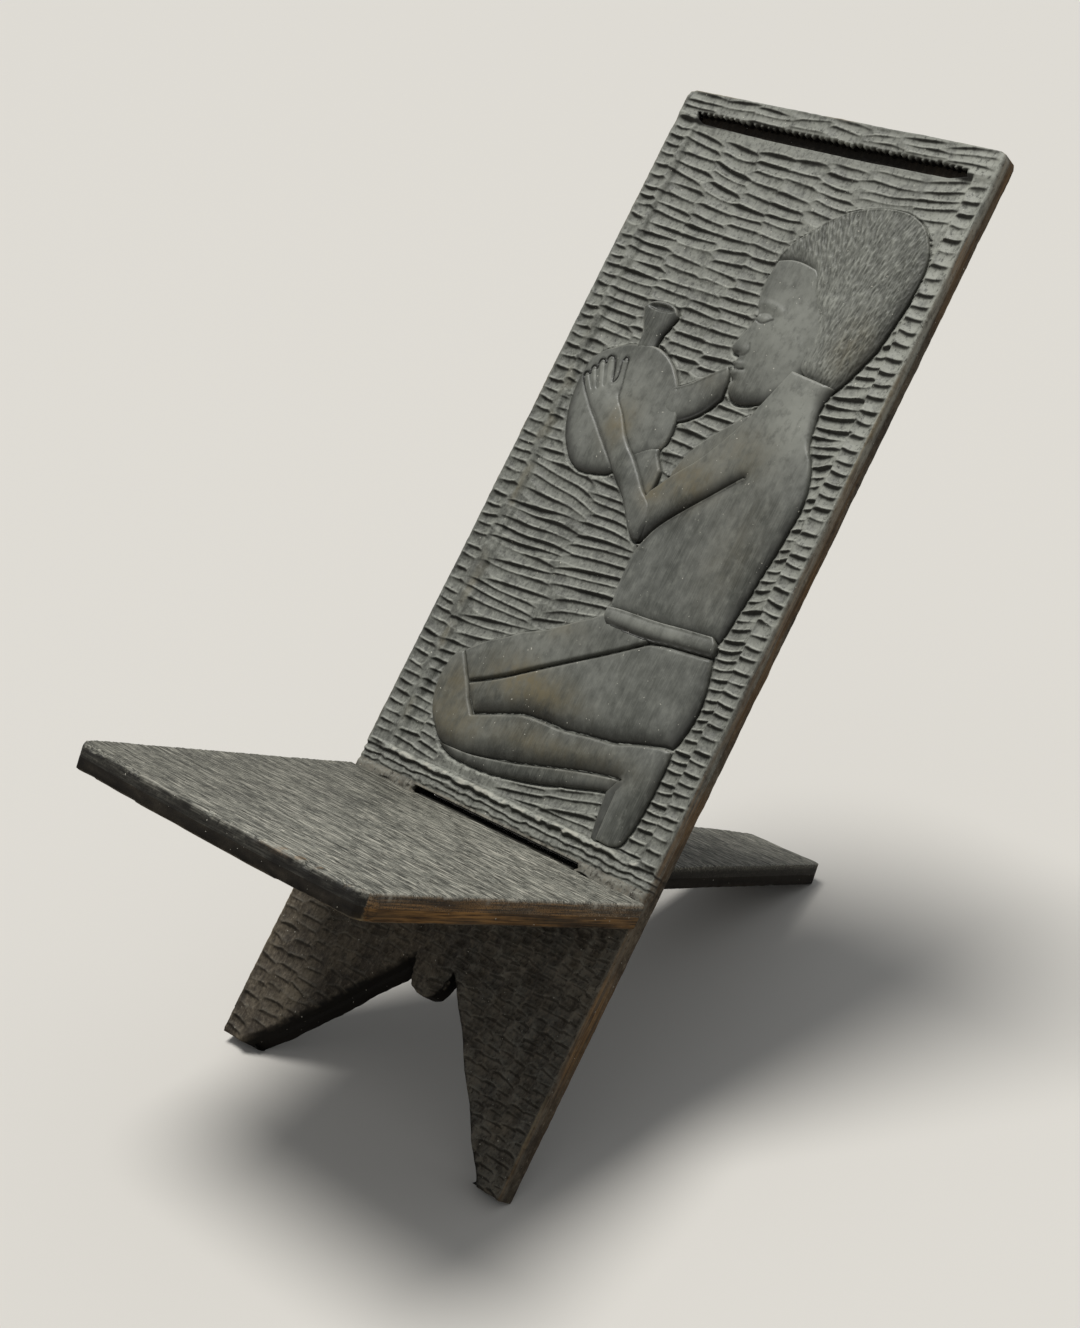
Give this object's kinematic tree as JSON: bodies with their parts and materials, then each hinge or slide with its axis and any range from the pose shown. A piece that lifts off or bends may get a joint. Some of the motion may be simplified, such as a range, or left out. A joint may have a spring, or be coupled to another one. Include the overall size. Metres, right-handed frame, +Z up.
{
  "type": "birthing chair",
  "caption": "Low birthing chair: a leaning carved back plank on pointed legs, slotted for a seat plank whose tapering tongue runs through it and props it from behind.",
  "frame": {"origin": "centre of the base of the bounding box, on the floor", "axes": "+Z up, front of the seat towards -Y, +X across the chair"},
  "size_m": [0.3248, 0.7114, 0.7034],
  "materials": {
    "ebonised_back": "ebonised hardwood, gouge carved, dull wax",
    "worn_seat": "ebonised hardwood, rubbed grey brown, bare at the edges"
  },
  "bodies": {
    "back": {"back_plank": "ebonised_back"},
    "seat": {"seat_plank": "worn_seat"}
  },
  "joints": [
    {"name": "seat_draw", "type": "slide", "parent": "back", "child": "seat", "axis": [0, -0.9084, 0.4181], "range_m": [0, 0.42]}
  ]
}
